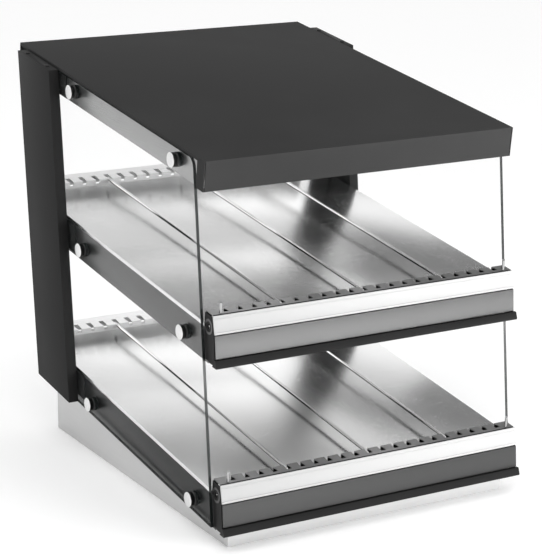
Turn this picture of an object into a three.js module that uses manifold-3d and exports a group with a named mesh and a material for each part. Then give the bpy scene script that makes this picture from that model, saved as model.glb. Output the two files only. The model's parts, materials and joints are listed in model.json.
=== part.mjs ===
// Two-tier slanted hot food display case for a shop counter.
// Units are millimetres, +Z up, +Y towards the back, origin on the counter under the middle of the
// overall outline.
// The cabinet is laid out in its own frame (x right, y back along the shelves, z square to the shelves,
// zero at the middle of the cover's top front edge) and is then tilted forward onto the plinth.
import * as THREE from 'three';
import { mergeVertices } from 'three/addons/utils/BufferGeometryUtils.js';
import Module from 'manifold-3d';

const wasm = await Module();
wasm.setup();

// ---- driving dimensions -------------------------------------------------
const TILT = 7.2;                 // slope of the shelves, degrees
const LEAN = 12.6;                // posts and glass lean back from square to the shelves, degrees
const GAP = 0.3;                  // clearance between neighbouring pieces
const SHEET = 1.5;                // sheet metal thickness
const ZERO_Y = -313.8;            // cabinet zero in the row's frame
const ZERO_Z = 602.9;

const COVER_W = 560;
const COVER_D = 686;
const COVER_LIP = 48.2;           // front lip height
const COVER_SIDE_LIP = 5.5;
const COVER_RETURN = 23;          // depth of the full-height side return
const HOOD_HALF = 274.6;
const HOOD_BOTTOM = -48.3;

const SHELF_HALF = 276.4;         // deck half width
const PAN_HALF = 274.6;
const DECK_Z = -248.2;
const DECK_STEP = 0.4;            // the food area stands this much above the strips under the ledges
const DECK_STEP_BACK = 605;
const PAN_BOTTOM = -309.3;
const SHELF_BACK = 633;
const LOWER_DY = -55.3;           // offset of the lower shelf
const LOWER_DZ = -257.3;

const LEDGE_Z = -228;             // top of the slotted ledges
const LEDGE_LIP = 10.4;
const FRONT_LEDGE_BACK = -22;
const FRONT_LEDGE_FRONT = -44;
const REAR_LEDGE_FRONT = 577;
const REAR_LEDGE_BACK = 619;
const SLOT_PITCH = 24.8;
const SLOT_COUNT = 21;
const SLOT_NECK = 6.6;
const SLOT_WIDE = 9;

const ROD_R = 2.75;
const ROD_Z = -232;
const ROD_FRONT = -31;
const ROD_REAR = 592;
const ROD_HOOK = 11;
const ROD_BEND = 5;
const ROD_EVERY = 6;              // slots between dividers

const STRIP_HALF = 275.8;
const TRIM_HALF = 278;

const GLASS_IN = 277;
const GLASS_T = 5;
const GLASS_TOP = -6;
const GLASS_BOTTOM = -562;
const GLASS_FRONT = 35;           // positions measured along the cover before leaning
const GLASS_BACK = 575;
const GLASS_CORNER = 12;

const POST_IN = 282.4;
const POST_OUT = 300;
const POST_FRONT = 519.8;
const POST_BACK = 650;
const POST_TOP = -3.1;
const POST_BOTTOM = -560.3;

const CAP_R = 12;
const BARREL_R = 11.4;
const CAP_OUT = 292;
const CAP_T = 1.8;
const STANDOFF_FRONT = 91.5;
const STANDOFF_REAR = 461.5;
const STANDOFF_Z = [-23.6, -282.2, -541.4];

const PLINTH_HALF = 257.5;
const PLINTH_FRONT = -343.1;
const PLINTH_BACK = 293.7;
const PLINTH_FLANGE = 18;

// ---- colours ------------------------------------------------------------
const BLACK_PAINT = 0x414141;
const BLACK_POST = 0x333333;
const SATIN_LIGHT = 0xa2a2a2;
const SATIN = 0x7c7c7c;
const BRUSHED = 0xbcbcbc;
const LEDGE_STEEL = 0x9a9a9a;
const LABEL_WHITE = 0xf4f4f4;
const FASCIA_GREY = 0x9c9c9c;
const TRIM_BLACK = 0x303030;
const PLINTH_GREY = 0xd8d8d8;
const GLASS_TINT = 0xdfe8e8;
const CHROME = 0xd0d0d0;
const HEATER_GREY = 0x8a8580;
const LAMP_WHITE = 0xfff4dc;
const KNOB_BLACK = 0x1c1c1c;

// ---- solid helpers ------------------------------------------------------
function toSolid(geometry) {
  const clean = geometry.index ? geometry : geometry.clone();
  clean.deleteAttribute('normal');
  clean.deleteAttribute('uv');
  const merged = mergeVertices(clean, 1e-4);
  const vertProperties = new Float32Array(merged.attributes.position.array);
  const triVerts = new Uint32Array(merged.index.array);
  return new wasm.Manifold(new wasm.Mesh({ numProp: 3, vertProperties, triVerts }));
}

function toGeometry(solid) {
  const mesh = solid.getMesh();
  const geometry = new THREE.BufferGeometry();
  geometry.setAttribute('position', new THREE.BufferAttribute(new Float32Array(mesh.vertProperties), 3));
  geometry.setIndex(new THREE.BufferAttribute(new Uint32Array(mesh.triVerts), 1));
  return geometry;
}

function box(x0, x1, y0, y1, z0, z1) {
  const g = new THREE.BoxGeometry(x1 - x0, y1 - y0, z1 - z0);
  g.translate((x0 + x1) / 2, (y0 + y1) / 2, (z0 + z1) / 2);
  return toSolid(g);
}

function shapeOf(points, holes) {
  const shape = new THREE.Shape(points.map(([u, v]) => new THREE.Vector2(u, v)));
  for (const hole of holes) {
    shape.holes.push(new THREE.Path(hole.map(([u, v]) => new THREE.Vector2(u, v))));
  }
  return shape;
}

// Outline in y,z swept along x.
function prismX(points, x0, x1, holes = []) {
  const g = new THREE.ExtrudeGeometry(shapeOf(points, holes), { depth: x1 - x0, bevelEnabled: false });
  const turn = new THREE.Matrix4().set(0, 0, 1, x0, 1, 0, 0, 0, 0, 1, 0, 0, 0, 0, 0, 1);
  g.applyMatrix4(turn);
  return toSolid(g);
}

// Outline in x,y swept along z.
function prismZ(points, z0, z1) {
  const g = new THREE.ExtrudeGeometry(shapeOf(points, []), { depth: z1 - z0, bevelEnabled: false });
  g.translate(0, 0, z0);
  return toSolid(g);
}

function circle(y, z, r, n) {
  return Array.from({ length: n }, (_, i) => {
    const a = (2 * Math.PI * i) / n;
    return [y + r * Math.cos(a), z + r * Math.sin(a)];
  });
}

// Turned piece about the y axis: profile is [radius, height] pairs from axis to axis.
function turned(profile, n) {
  return new THREE.LatheGeometry(profile.map(([r, h]) => new THREE.Vector2(r, h)), n);
}

function cylinderZ(x, y, z0, z1, r, n) {
  const g = turned([[0, z0], [r, z0], [r, z1], [0, z1]], n);
  g.rotateX(Math.PI / 2);
  g.translate(x, y, 0);
  return toSolid(g);
}

const leanBack = Math.tan(THREE.MathUtils.degToRad(LEAN));

// y of a point given its position along the cover and its height.
function leaned(position, z) {
  return position + z * leanBack;
}

function leanedPanel(front, back, top, bottom) {
  return [
    [leaned(front, bottom), bottom],
    [leaned(back, bottom), bottom],
    [leaned(back, top), top],
    [leaned(front, top), top],
  ];
}

const cabinetToRow = new THREE.Matrix4()
  .makeRotationX(THREE.MathUtils.degToRad(TILT))
  .setPosition(0, ZERO_Y, ZERO_Z);

const group = new THREE.Group();
group.name = 'hot_food_display_case';

function addMesh(name, geometry, color, finish) {
  const g = geometry.index ? geometry : mergeVertices(geometry, 1e-4);
  g.computeVertexNormals();
  const material = new THREE.MeshStandardMaterial({ color, ...finish });
  const mesh = new THREE.Mesh(g, material);
  mesh.name = name;
  group.add(mesh);
}

const PAINT = { metalness: 0.1, roughness: 0.5 };
const STEEL = { metalness: 0.9, roughness: 0.35 };
const PLASTIC = { metalness: 0, roughness: 0.5 };
const PANE = { metalness: 0, roughness: 0.05, transparent: true, opacity: 0.2 };

function addCabinet(name, solid, color, finish, dy = 0, dz = 0) {
  const g = toGeometry(solid);
  g.translate(0, dy, dz);
  g.applyMatrix4(cabinetToRow);
  addMesh(name, g, color, finish);
}

function unite(solids) {
  return solids.reduce((a, b) => a.add(b));
}

// ---- hood ---------------------------------------------------------------
function hoodCover() {
  const h = COVER_W / 2;
  const lipHalf = h - SHEET - 0.9;
  const parts = [
    box(-h, h, 0, COVER_D, -SHEET, 0),
    box(-lipHalf, lipHalf, 0, SHEET, -COVER_LIP, -SHEET / 2),
    box(-lipHalf, lipHalf, 0, 14, -COVER_LIP, -COVER_LIP + SHEET),
    box(-h, h, COVER_D - SHEET, COVER_D, -14, -SHEET / 2),
  ];
  for (const s of [-1, 1]) {
    const outer = s * h;
    const inner = s * (h - SHEET);
    const lo = Math.min(outer, inner);
    const hi = Math.max(outer, inner);
    parts.push(box(lo, hi, 0, COVER_RETURN, -COVER_LIP, -SHEET / 2));
    parts.push(box(lo, hi, COVER_RETURN - 1, COVER_D, -COVER_SIDE_LIP, -SHEET / 2));
  }
  return unite(parts);
}

function hoodHousing() {
  const y0 = 27;
  const y1 = 640;
  const z1 = -SHEET - GAP;
  const body = box(-HOOD_HALF, HOOD_HALF, y0, y1, HOOD_BOTTOM, z1);
  const inside = box(-HOOD_HALF + SHEET, HOOD_HALF - SHEET, y0 + SHEET, y1 - SHEET, HOOD_BOTTOM + SHEET, z1 + 1);
  const lampWindow = box(-220, 220, 60, 112, HOOD_BOTTOM - 1, HOOD_BOTTOM + SHEET + 1);
  const heatWindow = box(-235, 235, 150, 570, HOOD_BOTTOM - 1, HOOD_BOTTOM + SHEET + 1);
  return body.subtract(inside).subtract(lampWindow).subtract(heatWindow);
}

// Ribbed radiant panel lying above the heat window.
function hoodHeater() {
  const z0 = HOOD_BOTTOM + SHEET + GAP;
  const parts = [box(-245, 245, 142, 578, z0, z0 + 3)];
  for (let i = 0; i < 7; i += 1) {
    const y = 175 + i * 61.5;
    parts.push(box(-228, 228, y - 4, y + 4, z0 - 5, z0 + 1));
  }
  return unite(parts);
}

// Reflector trough with a tube lamp and its two holders, in one piece.
function hoodLamp() {
  const z0 = HOOD_BOTTOM + SHEET + GAP;
  const trough = box(-232, 232, 52, 120, z0, z0 + 22)
    .subtract(box(-230.5, 230.5, 53.5, 118.5, z0 - 1, z0 + 20.5))
    .add(box(-232, 232, 46, 56, z0, z0 + SHEET))
    .add(box(-232, 232, 116, 126, z0, z0 + SHEET));
  const tube = toSolid(turned([[0, -214], [7.5, -214], [7.5, 214], [0, 214]], 20).rotateZ(Math.PI / 2)
    .translate(0, 86, z0 + 10));
  const holders = [-1, 1].map((s) => box(s * 222 - 8.6, s * 222 + 8.6, 76, 96, z0 + 0.5, z0 + 21));
  return unite([trough, tube, ...holders]);
}

// ---- posts, glass and standoffs -----------------------------------------
function mirrored(x0, x1, side) {
  return side > 0 ? [x0, x1] : [-x1, -x0];
}

// Folded post, open at its foot, with tabs that reach in to the hood and both shelves.
function post(side) {
  const [a, b] = mirrored(POST_IN, POST_OUT, side);
  const [c, d] = mirrored(POST_IN + SHEET, POST_OUT - SHEET, side);
  const shell = prismX(leanedPanel(POST_FRONT, POST_BACK, POST_TOP, POST_BOTTOM), a, b)
    .subtract(prismX(leanedPanel(POST_FRONT + 1.6, POST_BACK - 1.6, POST_TOP - SHEET, POST_BOTTOM - 5), c, d));
  const parts = [shell];
  const [w0, w1] = mirrored(SHELF_HALF + 0.5, POST_IN + 1, side);
  parts.push(prismX(leanedPanel(GLASS_BACK + 6, POST_BACK - 4, -8, POST_BOTTOM + 4), w0, w1));
  const [t0, t1] = mirrored(PAN_HALF + GAP, SHELF_HALF + 0.25, side);
  const [u0, u1] = mirrored(PAN_HALF + GAP, SHELF_HALF + 1, side);
  const levels = [[-7, -47], [-256, -304], [-513.5, -554]];
  for (const [top, bottom] of levels) {
    parts.push(prismX(leanedPanel(503, POST_BACK - 30, top, bottom), t0, t1));
    parts.push(prismX(leanedPanel(GLASS_BACK + 7, POST_BACK - 30, top, bottom), u0, u1));
  }
  const x = side * (POST_IN + POST_OUT) / 2;
  for (const position of [POST_FRONT + 24, POST_BACK - 24]) {
    parts.push(cylinderZ(x, position, POST_TOP - 1, POST_TOP + 1.6, 3.6, 14));
  }
  return unite(parts);
}

function glassOutline() {
  const f = (z) => leaned(GLASS_FRONT, z);
  const points = [
    [f(GLASS_BOTTOM), GLASS_BOTTOM],
    [leaned(GLASS_BACK, GLASS_BOTTOM), GLASS_BOTTOM],
    [leaned(GLASS_BACK, GLASS_TOP), GLASS_TOP],
  ];
  const steps = 6;
  for (let i = 0; i <= steps; i += 1) {
    const a = (Math.PI / 2) * (i / steps);
    const drop = GLASS_CORNER * (1 - Math.cos(a));
    const z = GLASS_TOP - drop;
    points.push([f(z) + GLASS_CORNER * (1 - Math.sin(a)), z]);
  }
  return points;
}

function standoffSpots() {
  const spots = [];
  const names = ['hood', 'mid', 'low'];
  names.forEach((name, i) => {
    const z = STANDOFF_Z[i];
    spots.push({ name: `${name}_front`, y: leaned(STANDOFF_FRONT, z), z });
    spots.push({ name: `${name}_rear`, y: leaned(STANDOFF_REAR, z), z });
  });
  return spots;
}

function glass(side) {
  const [a, b] = mirrored(GLASS_IN, GLASS_IN + GLASS_T, side);
  const holes = standoffSpots().map((s) => circle(s.y, s.z, BARREL_R + GAP, 24).reverse());
  return prismX(glassOutline(), a, b, holes);
}

// Barrel through the glass with a wider disc cap outside.
function standoff(side, spot) {
  const x0 = PAN_HALF + GAP;
  const x1 = CAP_OUT - CAP_T;
  const g = turned([
    [0, x0], [BARREL_R - 0.6, x0], [BARREL_R, x0 + 0.6], [BARREL_R, x1], [CAP_R, x1],
    [CAP_R, CAP_OUT - 0.6], [CAP_R - 0.6, CAP_OUT], [0, CAP_OUT],
  ], 24);
  g.rotateZ(-side * Math.PI / 2);
  g.translate(0, spot.y, spot.z);
  return toSolid(g);
}

// ---- shelves ------------------------------------------------------------
function deck() {
  const h = SHELF_HALF;
  const front = -42;
  return unite([
    box(-PAN_HALF, PAN_HALF, front, 0, DECK_Z - SHEET, DECK_Z - DECK_STEP),
    box(-h, h, -21.5, SHELF_BACK, DECK_Z - SHEET, DECK_Z - DECK_STEP),
    box(-h, h, -21, DECK_STEP_BACK, DECK_Z - SHEET, DECK_Z),
    box(-h, -h + SHEET, -21.5, SHELF_BACK, DECK_Z - 6.2, DECK_Z - SHEET / 2),
    box(h - SHEET, h, -21.5, SHELF_BACK, DECK_Z - 6.2, DECK_Z - SHEET / 2),
  ]);
}

function pan() {
  const h = PAN_HALF;
  const top = DECK_Z - SHEET - GAP;
  const y0 = -40;
  const y1 = SHELF_BACK - 2;
  const inside = box(-h + SHEET, h - SHEET, y0 + SHEET, y1 - SHEET, PAN_BOTTOM + SHEET, top + 1);
  return box(-h, h, y0, y1, PAN_BOTTOM, top).subtract(inside);
}

// Flat element under the deck with raised element runs.
function shelfHeater() {
  const top = DECK_Z - SHEET - 2 * GAP;
  const parts = [box(-252, 252, 12, 585, top - 2, top)];
  for (let i = 0; i < 6; i += 1) {
    const y = 50 + i * 99;
    parts.push(box(-240, 240, y - 6, y + 6, top - 6, top - 1));
  }
  return unite(parts);
}

// Slots narrow towards the food side, where the ledge's lip is notched for the divider rods.
function ledge(y0, y1, legY0, legY1, lipY0, lipY1, slotFrom, slotWide0, slotWide1, half) {
  const z1 = LEDGE_Z;
  let solid = unite([
    box(-half, half, y0, y1, z1 - SHEET, z1),
    box(-half, half, legY0, legY1, DECK_Z + GAP, z1 - SHEET / 2),
    box(-half, half, lipY0, lipY1, z1 - LEDGE_LIP, z1 - SHEET / 2),
  ]);
  const n = SLOT_NECK / 2;
  const w = SLOT_WIDE / 2;
  const outline = [[-n, slotFrom], [-w, slotWide0], [-w, slotWide1], [w, slotWide1], [w, slotWide0], [n, slotFrom]];
  const lipLow = Math.min(lipY0, slotFrom) - 0.5;
  const lipHigh = Math.max(lipY1, slotFrom) + 0.5;
  for (let i = 0; i < SLOT_COUNT; i += 1) {
    const x = (i - (SLOT_COUNT - 1) / 2) * SLOT_PITCH;
    const ordered = slotWide1 < slotFrom ? outline : outline.slice().reverse();
    const cut = prismZ(ordered.map(([u, v]) => [u + x, v]), z1 - SHEET - 1, z1 + 1);
    const notch = box(x - n, x + n, lipLow, lipHigh, ROD_Z - ROD_R - 0.8, z1 + 1);
    solid = solid.subtract(cut).subtract(notch);
  }
  return solid;
}

function frontLedge() {
  const b = FRONT_LEDGE_BACK;
  const f = FRONT_LEDGE_FRONT;
  return ledge(f, b, f, f + SHEET, b - SHEET, b, b - SHEET, -31, -37.5, PAN_HALF);
}

function rearLedge() {
  const f = REAR_LEDGE_FRONT;
  const b = REAR_LEDGE_BACK;
  return ledge(f, b, b - SHEET, b, f, f + SHEET, f + SHEET, 588, 599, PAN_HALF - 0.6);
}

// Strip of thickness t behind the line from the upper to the lower front edge.
function slab(top, bottom, t) {
  const dy = bottom[0] - top[0];
  const dz = bottom[1] - top[1];
  const len = Math.hypot(dy, dz);
  const ny = -dz / len;
  const nz = dy / len;
  return [top, bottom, [bottom[0] + ny * t, bottom[1] + nz * t], [top[0] + ny * t, top[1] + nz * t]];
}

// White price-label channel: a leaning back plate with a lip along each long edge.
function labelStrip() {
  const top = [-46.1, -228.9];
  const bottom = [-55, -256.6];
  const plate = prismX(slab(top, bottom, 1.8), -STRIP_HALF, STRIP_HALF);
  const height = Math.hypot(bottom[0] - top[0], bottom[1] - top[1]);
  const u = [(bottom[0] - top[0]) / height, (bottom[1] - top[1]) / height];
  const out = [u[1], -u[0]];
  const lip = (from, to, rise) => {
    const at = (s, h) => [top[0] + u[0] * s + out[0] * h, top[1] + u[1] * s + out[1] * h];
    return prismX([at(from, -0.5), at(from, rise), at(to, rise), at(to, -0.5)], -STRIP_HALF, STRIP_HALF);
  };
  return unite([plate, lip(0.2, 2.6, 1.1), lip(5.6, 6.3, 0.5), lip(height - 3.4, height - 0.2, 1.3)]);
}

function fascia() {
  return prismX(slab([-56.2, -257.8], [-63.2, -293], 2.4), -STRIP_HALF + 0.4, STRIP_HALF - 0.4);
}

// Black nose along the bottom edge with a narrower sole running back under the profile.
function trim() {
  const nose = [
    [-66.4, -293.9], [-70.8, -302.4], [-71, -305], [-69.8, -306.1], [-57, -306.7],
    [-57, -304.8], [-60.6, -304.6], [-60.6, -294.6], [-62.4, -294.3],
  ];
  const sole = [[-58.5, -306.6], [-40.5, -307.2], [-40.5, -305.4], [-58.5, -304.8]];
  return prismX(nose, -TRIM_HALF, TRIM_HALF).add(prismX(sole, -PAN_HALF, PAN_HALF));
}

// End cap of the front profile with a rolled eye near its top.
function endPlate(side) {
  const [a, b] = mirrored(PAN_HALF + GAP, SHELF_HALF, side);
  const outline = [
    [-22.4, -230.6], [-22.4, -304], [-60, -304], [-60, -292.5],
    [-52.8, -257.6], [-44.4, -231.2],
  ];
  const [c, d] = mirrored(SHELF_HALF - 0.5, SHELF_HALF + 0.45, side);
  const eye = prismX(circle(-36.2, -249.6, 12.2, 28), c, d, [circle(-36.2, -249.6, 8.6, 28).reverse()])
    .subtract(box(c - 1, d + 1, -36, -20, -253, -247));
  const bore = prismX(circle(-36.2, -249.6, 4, 16), a - 1, b + 1);
  return prismX(outline, a, b).subtract(bore).add(eye);
}

function stripPin(side) {
  const g = turned([[0, 0], [2.3, 0], [2.3, 17], [1.6, 18.6], [0, 19]], 16);
  g.rotateX(Math.PI / 2);
  g.translate(side * SLOT_PITCH * 10.5, -41, LEDGE_Z + GAP);
  return toSolid(g);
}

// Bent rod in a plane of constant x, swept with rings only where it bends.
function rod(x) {
  const stations = [];
  const bendSteps = 5;
  stations.push({ y: ROD_FRONT, z: ROD_Z - ROD_HOOK, a: Math.PI / 2 });
  for (let i = 0; i <= bendSteps; i += 1) {
    const a = (Math.PI / 2) * (1 - i / bendSteps);
    const y = ROD_FRONT + ROD_BEND * (1 - Math.sin(a));
    stations.push({ y, z: ROD_Z - ROD_BEND * (1 - Math.cos(a)), a });
  }
  for (let i = 0; i <= bendSteps; i += 1) {
    const a = -(Math.PI / 2) * (i / bendSteps);
    const y = ROD_REAR - ROD_BEND * (1 + Math.sin(a));
    stations.push({ y, z: ROD_Z - ROD_BEND * (1 - Math.cos(a)), a });
  }
  stations.push({ y: ROD_REAR, z: ROD_Z - ROD_HOOK, a: -Math.PI / 2 });
  return sweepInPlane(x, stations, ROD_R, 14);
}

function sweepInPlane(x, stations, r, n) {
  const position = [];
  const index = [];
  for (const s of stations) {
    const ny = -Math.sin(s.a);
    const nz = Math.cos(s.a);
    for (let k = 0; k < n; k += 1) {
      const t = (2 * Math.PI * k) / n;
      position.push(x + r * Math.cos(t), s.y + ny * r * Math.sin(t), s.z + nz * r * Math.sin(t));
    }
  }
  for (let j = 0; j < stations.length - 1; j += 1) {
    for (let k = 0; k < n; k += 1) {
      const a = j * n + k;
      const b = j * n + ((k + 1) % n);
      index.push(a, a + n, b, b, a + n, b + n);
    }
  }
  const last = (stations.length - 1) * n;
  for (let k = 1; k < n - 1; k += 1) {
    index.push(0, k, k + 1);
    index.push(last, last + k + 1, last + k);
  }
  const g = new THREE.BufferGeometry();
  g.setAttribute('position', new THREE.Float32BufferAttribute(position, 3));
  g.setIndex(index);
  return toSolid(g);
}

// Slim lamp under the upper shelf.
function tierLamp() {
  const top = PAN_BOTTOM - GAP;
  return prismX([[52, top], [58, top - 9], [84, top - 9], [90, top]], -225, 225);
}

// ---- plinth and controls ------------------------------------------------
const cosT = Math.cos(THREE.MathUtils.degToRad(TILT));
const sinT = Math.sin(THREE.MathUtils.degToRad(TILT));
const PLINTH_PLANE = PAN_BOTTOM + LOWER_DZ - GAP;

// Height of the lower shelf's underside above the counter at a given y.
function underside(y) {
  return ZERO_Z + (PLINTH_PLANE + sinT * (y - ZERO_Y)) / cosT;
}

function plinth() {
  const wedge = (inset, drop, floor, x) => prismX([
    [PLINTH_FRONT + inset, floor], [PLINTH_BACK - inset, floor],
    [PLINTH_BACK - inset, underside(PLINTH_BACK - inset) - drop],
    [PLINTH_FRONT + inset, underside(PLINTH_FRONT + inset) - drop],
  ], -x, x);
  const outer = wedge(0, 0, 0, PLINTH_HALF);
  const inner = wedge(SHEET, SHEET, SHEET, PLINTH_HALF - SHEET);
  const f = PLINTH_FLANGE;
  const mouth = box(-PLINTH_HALF + f, PLINTH_HALF - f, PLINTH_FRONT + f, PLINTH_BACK - f, -1, SHEET + 1);
  return outer.subtract(inner).subtract(mouth).subtract(inletCutout());
}

const PANEL_Y = PLINTH_BACK + GAP;
const PANEL_T = 2;
const CONTROL_Z = 52;
const SWITCH_X = 20;
const INLET_X = -120;
const INLET_DEPTH = 16;
const ROCKER_TIP = 7;             // tip to each side of level, degrees
const ROCKER_PIVOT = 3.4;         // pivot's distance out from the bezel's seat

function controlPanel() {
  return box(-165, 165, PANEL_Y, PANEL_Y + PANEL_T, 18, 88).subtract(inletCutout());
}

function inletCutout() {
  const m = GAP + 0.2;
  return box(INLET_X - 16 - m, INLET_X + 16 + m, PLINTH_BACK - 5, PLINTH_BACK + 10, CONTROL_Z - 12 - m, CONTROL_Z + 12 + m);
}

// Dial turning about an axis along y, with a pointer rib.
function knob(x) {
  const y0 = PANEL_Y + PANEL_T + GAP;
  const dial = turned([[0, 0], [18, 0], [18, 3], [15.5, 4], [14, 17], [12.5, 18.5], [0, 18.5]], 30);
  dial.translate(x, y0, CONTROL_Z);
  return toSolid(dial).add(box(x - 2, x + 2, y0 + 16, y0 + 20.5, CONTROL_Z - 12, CONTROL_Z + 12));
}

function switchBezel() {
  const y0 = PANEL_Y + PANEL_T + GAP;
  return box(SWITCH_X - 17, SWITCH_X + 17, y0, y0 + 6, CONTROL_Z - 13, CONTROL_Z + 13)
    .subtract(box(SWITCH_X - 13.5, SWITCH_X + 13.5, y0 + 1, y0 + 7, CONTROL_Z - 9.5, CONTROL_Z + 9.5));
}

// Rocker with two faces meeting at a shallow valley, resting with its off side pressed in.
function rocker() {
  const points = [[-12, 0], [12, 0], [12, 4.4], [0, 3], [-12, 4.4]];
  const g = new THREE.ExtrudeGeometry(shapeOf(points, []), { depth: 18, bevelEnabled: false });
  g.translate(0, 0, -9);
  g.rotateZ(THREE.MathUtils.degToRad(ROCKER_TIP));
  g.translate(SWITCH_X, PANEL_Y + PANEL_T + GAP + ROCKER_PIVOT, CONTROL_Z);
  return toSolid(g);
}

// Recessed socket with three blades, behind a flange on the panel.
function inlet() {
  const y0 = PANEL_Y + PANEL_T + GAP;
  const x = INLET_X;
  const z = CONTROL_Z;
  const flange = box(x - 24, x + 24, y0, y0 + 4, z - 16, z + 16);
  const can = box(x - 16, x + 16, y0 - INLET_DEPTH, y0 + 1, z - 12, z + 12);
  const well = box(x - 12.4, x + 12.4, y0 - INLET_DEPTH + 2, y0 + 5, z - 8.6, z + 8.6);
  const blades = [-7, 0, 7].map((dx, i) => {
    const lift = i === 1 ? 3 : -2;
    return box(x + dx - 1, x + dx + 1, y0 - INLET_DEPTH + 1, y0 - 1, z + lift - 2, z + lift + 2);
  });
  return unite([flange.add(can).subtract(well), ...blades]);
}

// ---- assembly -----------------------------------------------------------
addMesh('base_plinth', toGeometry(plinth()), PLINTH_GREY, STEEL);
addMesh('base_control_panel', toGeometry(controlPanel()), SATIN_LIGHT, STEEL);
addMesh('knob_upper', toGeometry(knob(82)), KNOB_BLACK, PLASTIC);
addMesh('knob_lower', toGeometry(knob(132)), KNOB_BLACK, PLASTIC);
addMesh('switch_bezel', toGeometry(switchBezel()), TRIM_BLACK, PLASTIC);
addMesh('switch_rocker', toGeometry(rocker()), KNOB_BLACK, PLASTIC);
addMesh('power_inlet', toGeometry(inlet()), KNOB_BLACK, PLASTIC);

addCabinet('hood_cover', hoodCover(), BLACK_PAINT, PAINT);
addCabinet('hood_housing', hoodHousing(), SATIN_LIGHT, STEEL);
addCabinet('hood_heater', hoodHeater(), HEATER_GREY, STEEL);
addCabinet('hood_lamp', hoodLamp(), LAMP_WHITE, PLASTIC);
addCabinet('tier_lamp', tierLamp(), LAMP_WHITE, PLASTIC);

for (const [sideName, side] of [['left', -1], ['right', 1]]) {
  addCabinet(`post_${sideName}`, post(side), BLACK_POST, PAINT);
  addCabinet(`glass_${sideName}`, glass(side), GLASS_TINT, PANE);
  for (const spot of standoffSpots()) {
    addCabinet(`standoff_${sideName}_${spot.name}`, standoff(side, spot), CHROME, STEEL);
  }
}

for (const [level, dy, dz] of [['upper', 0, 0], ['lower', LOWER_DY, LOWER_DZ]]) {
  const add = (name, solid, color, finish) => addCabinet(`shelf_${level}_${name}`, solid, color, finish, dy, dz);
  add('deck', deck(), BRUSHED, STEEL);
  add('pan', pan(), SATIN, STEEL);
  add('heater', shelfHeater(), HEATER_GREY, STEEL);
  add('front_ledge', frontLedge(), LEDGE_STEEL, STEEL);
  add('rear_ledge', rearLedge(), BRUSHED, STEEL);
  add('label_strip', labelStrip(), LABEL_WHITE, PLASTIC);
  add('fascia', fascia(), FASCIA_GREY, STEEL);
  add('trim', trim(), TRIM_BLACK, PLASTIC);
  add('end_left', endPlate(-1), BLACK_POST, PLASTIC);
  add('end_right', endPlate(1), BLACK_POST, PLASTIC);
  add('pin_left', stripPin(-1), CHROME, STEEL);
  add('pin_right', stripPin(1), CHROME, STEEL);
  ['left', 'centre', 'right'].forEach((place, i) => {
    const x = (i - 1) * ROD_EVERY * SLOT_PITCH;
    addCabinet(`divider_${level}_${place}`, rod(x), CHROME, STEEL, dy, dz);
  });
}

export default group;
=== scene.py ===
import json
import math

import bmesh
import bpy
from mathutils import Matrix, Vector


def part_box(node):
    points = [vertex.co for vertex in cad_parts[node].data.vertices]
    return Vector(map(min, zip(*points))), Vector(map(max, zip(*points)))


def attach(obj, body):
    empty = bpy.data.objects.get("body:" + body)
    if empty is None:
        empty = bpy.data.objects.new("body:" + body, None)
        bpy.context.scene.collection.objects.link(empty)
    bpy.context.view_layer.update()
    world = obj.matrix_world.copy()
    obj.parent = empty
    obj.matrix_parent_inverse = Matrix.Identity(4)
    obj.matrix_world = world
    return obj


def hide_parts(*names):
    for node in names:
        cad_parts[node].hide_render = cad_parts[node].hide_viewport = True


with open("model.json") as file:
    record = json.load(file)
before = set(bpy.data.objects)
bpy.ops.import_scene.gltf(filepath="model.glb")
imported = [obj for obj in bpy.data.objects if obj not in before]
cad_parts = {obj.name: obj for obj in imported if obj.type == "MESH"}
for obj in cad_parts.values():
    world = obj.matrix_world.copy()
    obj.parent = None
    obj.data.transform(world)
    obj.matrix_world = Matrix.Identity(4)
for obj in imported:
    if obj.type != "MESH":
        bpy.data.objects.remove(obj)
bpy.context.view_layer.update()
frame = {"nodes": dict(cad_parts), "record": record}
NODES = frame["nodes"]
BODY_OF = {node: body for body, nodes in frame["record"]["behaviour"]["bodies"].items() for node in nodes}
SLOT_OF = {part["node"]: part["material_slot"] for part in frame["record"]["subparts"]}

# The cabinet's own frame: x right, y back along the shelves, z square to them, zero at the middle of
# the cover's top front edge. It is tilted forward and stands on the plinth. Lengths in it are in mm.
TILT = math.radians(7.2)
ORIGIN = Vector((0, -0.3138, 0.6029))
TO_SHARED = Matrix.Translation(ORIGIN) @ Matrix.Rotation(TILT, 4, "X")
MM = 0.001

# Shelves: name, and how far each is from the upper one along y and z of the cabinet frame.
LEVELS = (("upper", 0.0, 0.0), ("lower", -55.3, -257.3))


def cab(x, y, z):
    """A point of the cabinet frame, in millimetres, as a point of the shared frame in metres."""
    return TO_SHARED @ Vector((x * MM, y * MM, z * MM))


# ---- camera, floor and light ---------------------------------------------------------------------
# The viewpoint of the photograph, fitted to the object's straight edges.
CAMERA_PLACE = Vector((-1.651608, -2.891820, 1.216494))
CAMERA_RIGHT = Vector((0.867075, -0.498152, 0.005012))
CAMERA_BACK = Vector((-0.481879, -0.836112, 0.262124))
SENSOR_WIDTH = 36
LENS = 134.635
SHIFT = (-0.00055, 0.00316)

FLOOR_HALF = 14
FLOOR_DROP = 0.0005
FLOOR_TONE = 0.97
FLOOR_GLOW = 0.1

# Brightness of the world by height, from straight down (0) to straight up (1).
WORLD_STOPS = ((0.0, 1.0), (0.27, 0.8), (0.36, 0.12), (0.55, 0.14), (0.75, 1.2), (1.0, 1.5))

SWEEP_TURN = math.radians(25)


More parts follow.
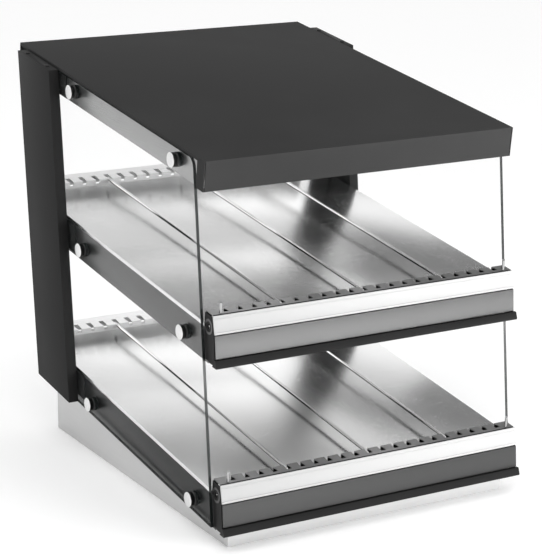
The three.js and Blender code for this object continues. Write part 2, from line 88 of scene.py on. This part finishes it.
def add_camera():
    data = bpy.data.cameras.new("camera")
    data.sensor_fit = "HORIZONTAL"
    data.sensor_width = SENSOR_WIDTH
    data.lens = LENS
    data.shift_x, data.shift_y = SHIFT
    data.clip_start = 0.1
    data.clip_end = 60
    camera = bpy.data.objects.new("camera", data)
    bpy.context.scene.collection.objects.link(camera)
    right = CAMERA_RIGHT.normalized()
    back = CAMERA_BACK.normalized()
    up = back.cross(right)
    turn = Matrix((right, up, back)).transposed().to_4x4()
    camera.matrix_world = Matrix.Translation(CAMERA_PLACE) @ turn
    bpy.context.scene.camera = camera


def nodes_of(mat):
    """Node tree's nodes and links of a material."""
    mat.use_nodes = True
    return mat.node_tree.nodes, mat.node_tree.links


def add_floor():
    """Plain pale floor, a hair below the object's foot."""
    bm = bmesh.new()
    bmesh.ops.create_grid(bm, x_segments=1, y_segments=1, size=FLOOR_HALF)
    mesh = bpy.data.meshes.new("floor")
    bm.to_mesh(mesh)
    bm.free()
    floor = bpy.data.objects.new("floor", mesh)
    floor.location.z = -FLOOR_DROP
    bpy.context.scene.collection.objects.link(floor)
    mat = bpy.data.materials.new("floor")
    nodes, _ = nodes_of(mat)
    shader = nodes["Principled BSDF"]
    shader.inputs["Base Color"].default_value = (FLOOR_TONE, FLOOR_TONE, FLOOR_TONE, 1)
    shader.inputs["Emission Color"].default_value = (1, 1, 1, 1)
    shader.inputs["Emission Strength"].default_value = FLOOR_GLOW
    shader.inputs["Roughness"].default_value = 0.9
    shader.inputs["Specular IOR Level"].default_value = 0.1
    mesh.materials.append(mat)


def add_world():
    """White sweep low down, dark band above it and light overhead, so that flat steel grades."""
    world = bpy.data.worlds.new("studio")
    bpy.context.scene.world = world
    world.use_nodes = True
    nodes, links = world.node_tree.nodes, world.node_tree.links
    coord = nodes.new("ShaderNodeTexCoord")
    split = nodes.new("ShaderNodeSeparateXYZ")
    links.new(coord.outputs["Generated"], split.inputs[0])
    ramp = nodes.new("ShaderNodeValToRGB")
    links.new(split.outputs["Z"], ramp.inputs["Fac"])
    elements = ramp.color_ramp.elements
    for i, (place, level) in enumerate(WORLD_STOPS):
        element = elements[i] if i < 2 else elements.new(place)
        element.position = place
        element.color = (level, level, level, 1)
    links.new(ramp.outputs["Color"], nodes["Background"].inputs["Color"])


def card(name, place, aim, size, radiance, seen="both"):
    """Softbox whose brightness seen in a mirror is the given radiance.

    It is seen by painted surfaces ("diffuse"), by reflections ("glossy") or by both.
    """
    data = bpy.data.lights.new(name, "AREA")
    data.shape = "RECTANGLE"
    data.size, data.size_y = size
    data.energy = radiance * math.pi * size[0] * size[1]
    light = bpy.data.objects.new(name, data)
    light.location = place
    light.rotation_euler = (Vector(aim) - Vector(place)).to_track_quat("-Z", "Y").to_euler()
    bpy.context.scene.collection.objects.link(light)
    light.visible_camera = False
    light.visible_diffuse = seen != "glossy"
    light.visible_glossy = seen != "diffuse"
    return light


add_camera()
add_floor()
add_world()
card("key", (-1.5, -2.2, 2.7), (0, 0, 0.3), (2.2, 1.6), 2.0, "diffuse")
card("front_right", (1.5, -2.4, 0.45), (0, -0.3, 0.45), (2.4, 0.9), 14.0, "diffuse")
card("front_glow", (-0.3, -1.7, 0.03), (-0.1, -0.4, 0.8), (1.6, 0.9), 1.2, "glossy")
card("left", (-2.6, 0.4, 1.5), (0, 0.2, 0.5), (1.6, 1.2), 1.0)
card("back_left", (-0.95, 2.1, 1.05), (0, 0.1, 0.4), (1.1, 0.7), 2.6, "glossy")
sweep = card("sweep", (0.25, 1.04, 0.86), (-0.32, 0.22, 0.86), (1.1, 1.0), 0.6, "glossy")
sweep.rotation_euler.rotate_axis("Z", SWEEP_TURN)
card("low_sweep", (0.35, 0.972, 0.44), (-0.22, 0.152, 0.44), (1.4, 0.5), 0.58, "glossy")
bpy.context.scene.view_settings.view_transform = "Standard"


# ---- materials -----------------------------------------------------------------------------------
# Noise scales, per metre.
GRAIN_ALONG = 14
GRAIN_ACROSS = 2200
STEEL_CLOUDS = 9
PAINT_CLOUDS = 5
# How much of a brushed sheet's variation comes from its lines, and how much from its clouds.
LINE_SHARE = 0.7
CLOUD_SHARE = 0.3
# Sockets of a colour Mix node.
MIX_FACTOR, MIX_A, MIX_B, MIX_RESULT = 0, 6, 7, 2
# Edge and face of the glass: colours, and how much each hides.
GLASS_EDGE = (0.004, 0.006, 0.006, 1)
GLASS_FACE = (0.3, 0.33, 0.33, 1)
GLASS_EDGE_ALPHA = 0.93
GLASS_FACE_ALPHA = 0.02

MATERIALS = {}


def grey(level):
    """sRGB grey level 0-255 as a linear colour."""
    v = level / 255
    v = v / 12.92 if v <= 0.04045 else ((v + 0.055) / 1.055) ** 2.4
    return (v, v, v, 1)


def material(name, colour, rough, metal, spec):
    mat = bpy.data.materials.new(name)
    nodes, links = nodes_of(mat)
    shader = nodes["Principled BSDF"]
    shader.inputs["Base Color"].default_value = colour
    shader.inputs["Roughness"].default_value = rough
    shader.inputs["Metallic"].default_value = metal
    shader.inputs["Specular IOR Level"].default_value = spec
    MATERIALS[name] = mat
    return nodes, links, shader


def object_coords(nodes, links, scale, turn=(0, 0, 0)):
    coord = nodes.new("ShaderNodeTexCoord")
    mapping = nodes.new("ShaderNodeMapping")
    mapping.inputs["Scale"].default_value = scale
    mapping.inputs["Rotation"].default_value = turn
    links.new(coord.outputs["Object"], mapping.inputs["Vector"])
    return mapping.outputs["Vector"]


def noise(nodes, links, vector, detail):
    tex = nodes.new("ShaderNodeTexNoise")
    tex.inputs["Scale"].default_value = 1.0
    tex.inputs["Detail"].default_value = detail
    tex.inputs["Roughness"].default_value = 0.5
    links.new(vector, tex.inputs["Vector"])
    return tex.outputs["Fac"]


def spread(nodes, links, value, low, high, low_in=0.3, high_in=0.7):
    """Maps low_in..high_in, by default the middle of a noise's range, to low..high."""
    span = nodes.new("ShaderNodeMapRange")
    span.inputs["From Min"].default_value = low_in
    span.inputs["From Max"].default_value = high_in
    span.inputs["To Min"].default_value = low
    span.inputs["To Max"].default_value = high
    links.new(value, span.inputs["Value"])
    return span.outputs[0]


def tint(nodes, links, value, first, second):
    """Colour between the first and the second, which may be the output of another node."""
    mix = nodes.new("ShaderNodeMix")
    mix.data_type = "RGBA"
    links.new(value, mix.inputs[MIX_FACTOR])
    mix.inputs[MIX_A].default_value = first
    if isinstance(second, tuple):
        mix.inputs[MIX_B].default_value = second
    else:
        links.new(second, mix.inputs[MIX_B])
    return mix.outputs[MIX_RESULT]


def bump(nodes, links, shader, height, distance, strength):
    node = nodes.new("ShaderNodeBump")
    node.inputs["Distance"].default_value = distance
    node.inputs["Strength"].default_value = strength
    links.new(height, node.inputs["Height"])
    links.new(node.outputs["Normal"], shader.inputs["Normal"])


def brushed(name, level, rough, along, contrast=6, metal=1.0):
    """Stainless sheet with fine lines along one axis (0, 1 or 2) and faint cloudy variation."""
    nodes, links, shader = material(name, grey(level), rough, metal, 0.5)
    scale = [GRAIN_ACROSS, GRAIN_ACROSS, GRAIN_ACROSS]
    scale[along] = GRAIN_ALONG
    lines = noise(nodes, links, object_coords(nodes, links, scale, (-TILT, 0, 0)), 2.0)
    clouds = noise(nodes, links, object_coords(nodes, links, [STEEL_CLOUDS] * 3), 3.0)
    add = nodes.new("ShaderNodeMath")
    add.operation = "MULTIPLY_ADD"
    links.new(lines, add.inputs[0])
    add.inputs[1].default_value = LINE_SHARE
    share = nodes.new("ShaderNodeMath")
    share.operation = "MULTIPLY"
    links.new(clouds, share.inputs[0])
    share.inputs[1].default_value = CLOUD_SHARE
    links.new(share.outputs[0], add.inputs[2])
    both = add.outputs[0]
    value = spread(nodes, links, both, 0, 1)
    colour = tint(nodes, links, value, grey(level - contrast), grey(level + contrast))
    links.new(colour, shader.inputs["Base Color"])
    links.new(spread(nodes, links, both, rough * 0.85, rough * 1.2), shader.inputs["Roughness"])
    bump(nodes, links, shader, lines, 0.00002, 0.5)


def painted(name, level, rough, grain=900, contrast=3, spec=0.4):
    """Powder coat or moulded plastic with a fine grain and faint cloudy variation."""
    nodes, links, shader = material(name, grey(level), rough, 0.0, spec)
    fine = noise(nodes, links, object_coords(nodes, links, [grain] * 3), 2.0)
    clouds = noise(nodes, links, object_coords(nodes, links, [PAINT_CLOUDS] * 3), 4.0)
    value = spread(nodes, links, clouds, 0, 1)
    colour = tint(nodes, links, value, grey(level - contrast), grey(level + contrast))
    links.new(colour, shader.inputs["Base Color"])
    links.new(spread(nodes, links, clouds, rough * 0.92, rough * 1.1), shader.inputs["Roughness"])
    bump(nodes, links, shader, fine, 0.00004, 0.4)


def normal_part(nodes, links, axis):
    """One component of the surface's normal."""
    geometry = nodes.new("ShaderNodeNewGeometry")
    split = nodes.new("ShaderNodeSeparateXYZ")
    links.new(geometry.outputs["Normal"], split.inputs[0])
    return split.outputs[axis]


def side_switch(nodes, links, threshold):
    """1 where |normal x| is above the threshold."""
    sideways = normal_part(nodes, links, "X")
    absolute = nodes.new("ShaderNodeMath")
    absolute.operation = "ABSOLUTE"
    links.new(sideways, absolute.inputs[0])
    above = nodes.new("ShaderNodeMath")
    above.operation = "GREATER_THAN"
    above.inputs[1].default_value = threshold
    links.new(absolute.outputs[0], above.inputs[0])
    return above.outputs[0]


def glass():
    """Clear sheet that is dark only where it is looked at through its edges."""
    nodes, links, shader = material("glass", GLASS_FACE, 0.02, 0.0, 0.5)
    face = side_switch(nodes, links, 0.8)
    smear = noise(nodes, links, object_coords(nodes, links, (7, 4, 9)), 3.0)
    links.new(spread(nodes, links, smear, 0.02, 0.05), shader.inputs["Roughness"])
    links.new(tint(nodes, links, face, GLASS_EDGE, GLASS_FACE), shader.inputs["Base Color"])
    alpha = spread(nodes, links, face, GLASS_EDGE_ALPHA, GLASS_FACE_ALPHA, 0, 1)
    links.new(alpha, shader.inputs["Alpha"])


def shade_below(name, level):
    """Painted shade: darkens the underside of a wire, standing in for the dark surroundings it reflects
    there.
    """
    nodes, links = nodes_of(MATERIALS[name])
    up = spread(nodes, links, normal_part(nodes, links, "Z"), 0, 1, 0.05, 0.4)
    base = nodes["Principled BSDF"].inputs["Base Color"]
    links.new(tint(nodes, links, up, grey(level), base.links[0].from_socket), base)


glass()
painted("hood_paint", 54, 0.65, spec=0.02)
painted("post_paint", 35, 0.6, spec=0.1)
brushed("hood_steel", 163, 0.3, 1)
brushed("plinth_steel", 200, 0.38, 1, metal=0.45)
brushed("panel_steel", 184, 0.34, 0, 8)
brushed("heater", 238, 0.24, 0, 5)
brushed("deck", 232, 0.24, 1)
brushed("pan", 236, 0.34, 1)
brushed("pan_back", 170, 0.36, 0, 8)
# The side rails of both shelves are one steel; the lower rail's darker grey is painted shade.
brushed("rail_upper", 110, 0.34, 1)
brushed("rail_lower", 60, 0.34, 1)
brushed("front_ledge", 150, 0.34, 0)
brushed("rear_ledge", 240, 0.3, 0, metal=0.55)
# The fascias of both shelves are one steel; the lower fascia's darker grey is painted shade.
brushed("fascia_upper", 138, 0.5, 0, 4)
brushed("fascia_lower", 98, 0.5, 0, 4)
brushed("chrome", 176, 0.1, 2, 4)
brushed("divider", 226, 0.06, 1, 4)
# painted shade on the undersides of the divider wires
shade_below("divider", 40)
brushed("standoff", 224, 0.28, 2, 4)
brushed("eye", 90, 0.3, 1)
painted("barrel", 22, 0.4)
# painted shade for the inside of the front channels and the ledge faces there
painted("painted_shade", 14, 0.7)
painted("label_strip", 175, 0.35, 400, 1, spec=0.3)
painted("trim", 24, 0.5, spec=0.2)
painted("end_cap", 15, 0.5, spec=0.2)
painted("knob", 30, 0.5)
painted("switch", 34, 0.5)
painted("rocker", 26, 0.25)
painted("inlet", 30, 0.5)
painted("lamp", 246, 0.35)
MATERIAL_OF = {name: MATERIALS[SLOT_OF[name]] for name in NODES}

for name, node in NODES.items():
    if not node.material_slots:
        node.data.materials.append(None)
    for slot in node.material_slots:
        slot.link = "DATA"
        slot.material = MATERIAL_OF[name]


# ---- tools for pieces ------------------------------------------------------------------------------
WELD = 1e-6
# A face looks along an axis where its normal has more than this on it.
FACING = 0.7


def finish_piece(bm, name, body, materials, node=None):
    """Turns a bmesh in the shared frame into a piece that rides on a body and may replace a node."""
    bmesh.ops.recalc_face_normals(bm, faces=bm.faces)
    mesh = bpy.data.meshes.new(name)
    bm.to_mesh(mesh)
    bm.free()
    for mat in materials:
        mesh.materials.append(mat)
    piece = bpy.data.objects.new(name, mesh)
    bpy.context.scene.collection.objects.link(piece)
    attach(piece, body)
    if node:
        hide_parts(node)


def mesh_of(node):
    """Copy of a node's mesh with its triangles joined at their corners."""
    bm = bmesh.new()
    bm.from_mesh(NODES[node].data)
    bmesh.ops.remove_doubles(bm, verts=bm.verts, dist=WELD)
    return bm


def smooth(bm, limit):
    """Smooth shading with edges kept sharp where faces meet at more than the limit, in degrees."""
    for face in bm.faces:
        face.smooth = True
    for edge in bm.edges:
        if len(edge.link_faces) == 2 and edge.calc_face_angle(0) > math.radians(limit):
            edge.smooth = False


def skin(bm, rings):
    """Skins successive rings of vertices and closes both ends."""
    for low, high in zip(rings, rings[1:]):
        n = len(low)
        for k in range(n):
            m = (k + 1) % n
            bm.faces.new((low[k], low[m], high[m], high[k]))
    bm.faces.new(rings[0][::-1])
    bm.faces.new(rings[-1])


def lathe(bm, base, axis, outline, segments):
    """Turns an outline of (height, radius, material index), in millimetres, about an axis."""
    axis = Vector(axis)
    u = axis.orthogonal().normalized()
    v = axis.cross(u)
    turns = [2 * math.pi * k / segments for k in range(segments)]
    rings = []
    for height, radius, _ in outline:
        spot = base + axis * height * MM
        if radius == 0:
            rings.append([bm.verts.new(spot)])
            continue
        spokes = [u * math.cos(t) + v * math.sin(t) for t in turns]
        rings.append([bm.verts.new(spot + spoke * radius * MM) for spoke in spokes])
    for (low, high), (_, _, index) in zip(zip(rings, rings[1:]), outline):
        for k in range(segments):
            m = (k + 1) % segments
            if len(low) == 1:
                corners = (low[0], high[k], high[m])
            elif len(high) == 1:
                corners = (low[k], low[m], high[0])
            else:
                corners = (low[k], low[m], high[m], high[k])
            bm.faces.new(corners).material_index = index


# ---- covers, posts, shelves and mouldings ------------------------------------------------------------
# Radius of the round on each sheet's edges.
EDGE_ROUND = {
    "hood_cover": 0.55, "post_left": 0.5, "post_right": 0.5, "base_plinth": 0.5,
    "base_control_panel": 0.3, "shelf_upper_deck": 0.6, "shelf_lower_deck": 0.6, "hood_housing": 0.6,
    "shelf_upper_fascia": 0.5, "shelf_lower_fascia": 0.5,
    "shelf_upper_trim": 0.4, "shelf_lower_trim": 0.4,
    "shelf_upper_label_strip": 0.25, "shelf_lower_label_strip": 0.25,
    "switch_bezel": 0.5, "switch_rocker": 0.4, "power_inlet": 0.4,
}
PAN_ROUND = 0.6
FLAT = math.radians(0.6)
CORNER = math.radians(30)

# Painted shade: a dark sheet in the channel behind the front ledge's slots, standing in for the shadow there,
# as (y, z) corners of its section.
SHADE_SHEET_SECTION = (
    (-42.2, -247.9), (-24.4, -247.9), (-24.4, -247.3), (-41.6, -247.3), (-41.6, -231.5), (-42.2, -231.5),
)
SHADE_SHEET_HALF = 273.6
# The rolled eye of an end cap is what stands further out than this.
EYE_FROM = 276.45


def rounded(node, width, side=None):
    """Copy of a node with its sheet edges broken by a small round, in its place.

    A pan takes one more material on the faces that look left or right, and one on its back.
    """
    bm = mesh_of(node)
    bmesh.ops.dissolve_limit(bm, angle_limit=FLAT, verts=bm.verts, edges=bm.edges)
    sharp = [e for e in bm.edges if len(e.link_faces) == 2 and e.calc_face_angle(0) > CORNER]
    bmesh.ops.bevel(bm, geom=sharp, offset=width * MM, segments=2, profile=0.5, affect="EDGES",
                    clamp_overlap=True)
    smooth(bm, 40)
    materials = [MATERIAL_OF[node]]
    if side:
        materials += [MATERIALS[side], MATERIALS["pan_back"]]
        bm.normal_update()
        for face in bm.faces:
            if abs(face.normal.x) > FACING:
                face.material_index = 1
            else:
                face.material_index = 2 * int(face.normal.y > FACING)
    finish_piece(bm, node + "_formed", BODY_OF[node], materials, node)


def painted_shade(level, dy, dz):
    """Painted shade: a dark sheet inside the front channel, under the slotted ledge, standing in for its
    shadow.
    """
    bm = bmesh.new()
    ends = (-SHADE_SHEET_HALF, SHADE_SHEET_HALF)
    skin(bm, [[bm.verts.new(cab(x, y + dy, z + dz)) for y, z in SHADE_SHEET_SECTION] for x in ends])
    finish_piece(bm, f"channel_painted_shade_{level}", "case", [MATERIALS["painted_shade"]])


def slotted_ledge(node):
    """Front ledge whose faces inside the channel, which look forward, take the dark material as painted shade
    for the channel's shadow.
    """
    bm = mesh_of(node)
    bm.normal_update()
    for face in bm.faces:
        face.material_index = int(face.normal.y < -FACING)
    finish_piece(bm, node + "_slotted", BODY_OF[node], [MATERIAL_OF[node], MATERIALS["painted_shade"]], node)


def end_plate(node):
    """End cap whose rolled eye, the part that stands out furthest, is bare steel."""
    bm = mesh_of(node)
    for face in bm.faces:
        face.material_index = int(abs(face.calc_center_median().x) > EYE_FROM * MM)
    smooth(bm, 30)
    finish_piece(bm, node + "_cap", BODY_OF[node], [MATERIAL_OF[node], MATERIALS["eye"]], node)


# ---- stand-offs and dividers -----------------------------------------------------------------------
# Section of a stand-off: (distance from the cabinet's middle plane, radius, 0 cap or 1 barrel). The cap's
# round side takes the barrel's black, as painted shade for the dark it reflects.
STANDOFF_SECTION = (
    (274.9, 0.0, 1), (274.9, 10.8, 1), (275.4, 11.3, 1), (283.4, 11.3, 1), (283.7, 10.5, 1),
    (284.5, 10.5, 1), (284.8, 11.3, 1), (289.9, 11.3, 1), (290.2, 11.8, 1), (290.5, 12.0, 1),
    (291.3, 12.0, 0), (291.8, 11.6, 0), (292.0, 10.9, 0), (292.0, 0.0, 0),
)

SLOT_PITCH = 24.8
DIVIDER_STEPS = (("left", -6), ("centre", 0), ("right", 6))
WIRE_R = 2.75
WIRE_BEND = 5.0
WIRE_HOOK = 11.0
WIRE_FRONT = -31.0
WIRE_REAR = 592.0
WIRE_Z = -232.0
TIP_LENGTH = 0.9
TIP_SHARE = 0.55
BEND_STEPS = 8
WIRE_SIDES = 20


def standoff(node):
    """Turned steel cap on a black barrel that passes through the glass."""
    low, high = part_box(node)
    centre = (low + high) / 2
    side = 1 if centre.x > 0 else -1
    bm = bmesh.new()
    lathe(bm, Vector((0, centre.y, centre.z)), (side, 0, 0), STANDOFF_SECTION, 40)
    smooth(bm, 30)
    finish_piece(bm, node + "_turned", BODY_OF[node], [MATERIALS["standoff"], MATERIALS["barrel"]], node)


def wire_stations():
    """Stations along a divider's centre line: y, z, slope in degrees and share of the full radius."""
    tip = WIRE_Z - WIRE_HOOK
    stations = [(WIRE_FRONT, tip, 90, TIP_SHARE), (WIRE_FRONT, tip + TIP_LENGTH, 90, 1.0)]
    for i in range(BEND_STEPS + 1):
        slope = 90 * (1 - i / BEND_STEPS)
        r = math.radians(slope)
        y = WIRE_FRONT + WIRE_BEND * (1 - math.sin(r))
        stations.append((y, WIRE_Z - WIRE_BEND * (1 - math.cos(r)), slope, 1.0))
    for i in range(BEND_STEPS + 1):
        slope = -90 * i / BEND_STEPS
        r = math.radians(slope)
        y = WIRE_REAR - WIRE_BEND * (1 + math.sin(r))
        stations.append((y, WIRE_Z - WIRE_BEND * (1 - math.cos(r)), slope, 1.0))
    stations += [(WIRE_REAR, tip + TIP_LENGTH, -90, 1.0), (WIRE_REAR, tip, -90, TIP_SHARE)]
    return stations


def divider(level, place, x, dy, dz):
    """Bent wire with hooked ends, lying in its slots."""
    node = f"divider_{level}_{place}"
    bm = bmesh.new()
    rings = []
    for y, z, slope, share in wire_stations():
        ny, nz = -math.sin(math.radians(slope)), math.cos(math.radians(slope))
        ring = []
        for k in range(WIRE_SIDES):
            t = 2 * math.pi * k / WIRE_SIDES
            u, v = WIRE_R * share * math.cos(t), WIRE_R * share * math.sin(t)
            ring.append(bm.verts.new(cab(x + u, y + dy + ny * v, z + dz + nz * v)))
        rings.append(ring)
    skin(bm, rings)
    smooth(bm, 35)
    finish_piece(bm, node + "_wire", BODY_OF[node], [MATERIALS["divider"]], node)


# ---- rear control panel ----------------------------------------------------------------------------
# Section of a screw's head: (height, radius, 0 head or 1 bottom of the recess). The bottom of the recess
# takes the barrel's black as painted shade.
SCREW_SECTION = (
    (-0.2, 0.0, 0), (-0.2, 3.4, 0), (0.7, 3.4, 0), (1.5, 2.7, 0), (1.9, 1.5, 0), (1.6, 1.3, 1), (1.6, 0.0, 1),
)
SCREW_INSET = 9

TICKS = 10
TICK_ANGLE = 30
TICK_NEAR = 20.2
TICK_FAR = 22.6
TICK_GROWTH = 0.12
TICK_HALF = 0.5
FIRST_TICK_FAR = 24.0
FIRST_TICK_HALF = 0.9
# How far the paint of a tick and the inlay of a pointer reach into and out of their face.
TICK_DEPTH = (-0.05, 0.12)
POINTER_DEPTH = (-0.2, 0.15)
POINTER_OUTLINE = ((-0.6, 3.0), (0.6, 3.0), (0.6, 11.0), (0.0, 11.7), (-0.6, 11.0))


def panel_screws():
    """Screws with a round recess at the corners of the control panel."""
    low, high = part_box("base_control_panel")
    inset = SCREW_INSET * MM
    bm = bmesh.new()
    for x in (low.x + inset, high.x - inset):
        for z in (low.z + inset, high.z - inset):
            lathe(bm, Vector((x, high.y, z)), (0, 1, 0), SCREW_SECTION, 24)
    smooth(bm, 30)
    finish_piece(bm, "panel_screws", "case", [MATERIALS["chrome"], MATERIALS["barrel"]])


def dial_marks(level):
    """Plain scale ticks on the panel, from the knob's rest place round to its stop."""
    low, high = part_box(f"knob_{level}")
    centre = (low + high) / 2
    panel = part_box("base_control_panel")[1].y
    bm = bmesh.new()
    for step in range(TICKS):
        a = math.radians(TICK_ANGLE * step)
        out = Vector((-math.sin(a), 0, math.cos(a)))
        across = Vector((math.cos(a), 0, math.sin(a)))
        half = (FIRST_TICK_HALF if step == 0 else TICK_HALF) * MM
        near = TICK_NEAR * MM
        far = (FIRST_TICK_FAR if step == 0 else TICK_FAR + TICK_GROWTH * step) * MM
        corners = [out * r + across * h for r, h in ((near, -half), (far, -half), (far, half), (near, half))]
        faces = [Vector((centre.x, panel + depth * MM, centre.z)) for depth in TICK_DEPTH]
        skin(bm, [[bm.verts.new(face + corner) for corner in corners] for face in faces])
    finish_piece(bm, f"dial_marks_{level}", "case", [MATERIALS["barrel"]])


def pointer(level):
    """Pale line let into the knob's rib, at the end that points to the scale."""
    node = f"knob_{level}"
    low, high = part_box(node)
    centre = (low + high) / 2
    bm = bmesh.new()
    rings = []
    for depth in POINTER_DEPTH:
        spots = [(centre.x + x * MM, high.y + depth * MM, centre.z + z * MM) for x, z in POINTER_OUTLINE]
        rings.append([bm.verts.new(Vector(spot)) for spot in spots])
    skin(bm, rings)
    finish_piece(bm, node + "_pointer", BODY_OF[node], [MATERIALS["lamp"]])


# ---- everything, in its place ----------------------------------------------------------------------
for name in [n for n in NODES if n.startswith("standoff")]:
    standoff(name)
for level, dy, dz in LEVELS:
    for place, steps in DIVIDER_STEPS:
        divider(level, place, steps * SLOT_PITCH, dy, dz)
for name, width in EDGE_ROUND.items():
    rounded(name, width)
for level, _, _ in LEVELS:
    rounded(f"shelf_{level}_pan", PAN_ROUND, f"rail_{level}")
# dark sheets of painted shade in the front channels, and painted shade on the ledge faces beside them
for level, dy, dz in LEVELS:
    painted_shade(level, dy, dz)
    slotted_ledge(f"shelf_{level}_front_ledge")
for level, _, _ in LEVELS:
    for side in ("left", "right"):
        end_plate(f"shelf_{level}_end_{side}")
panel_screws()
for level, _, _ in LEVELS:
    dial_marks(level)
    pointer(level)
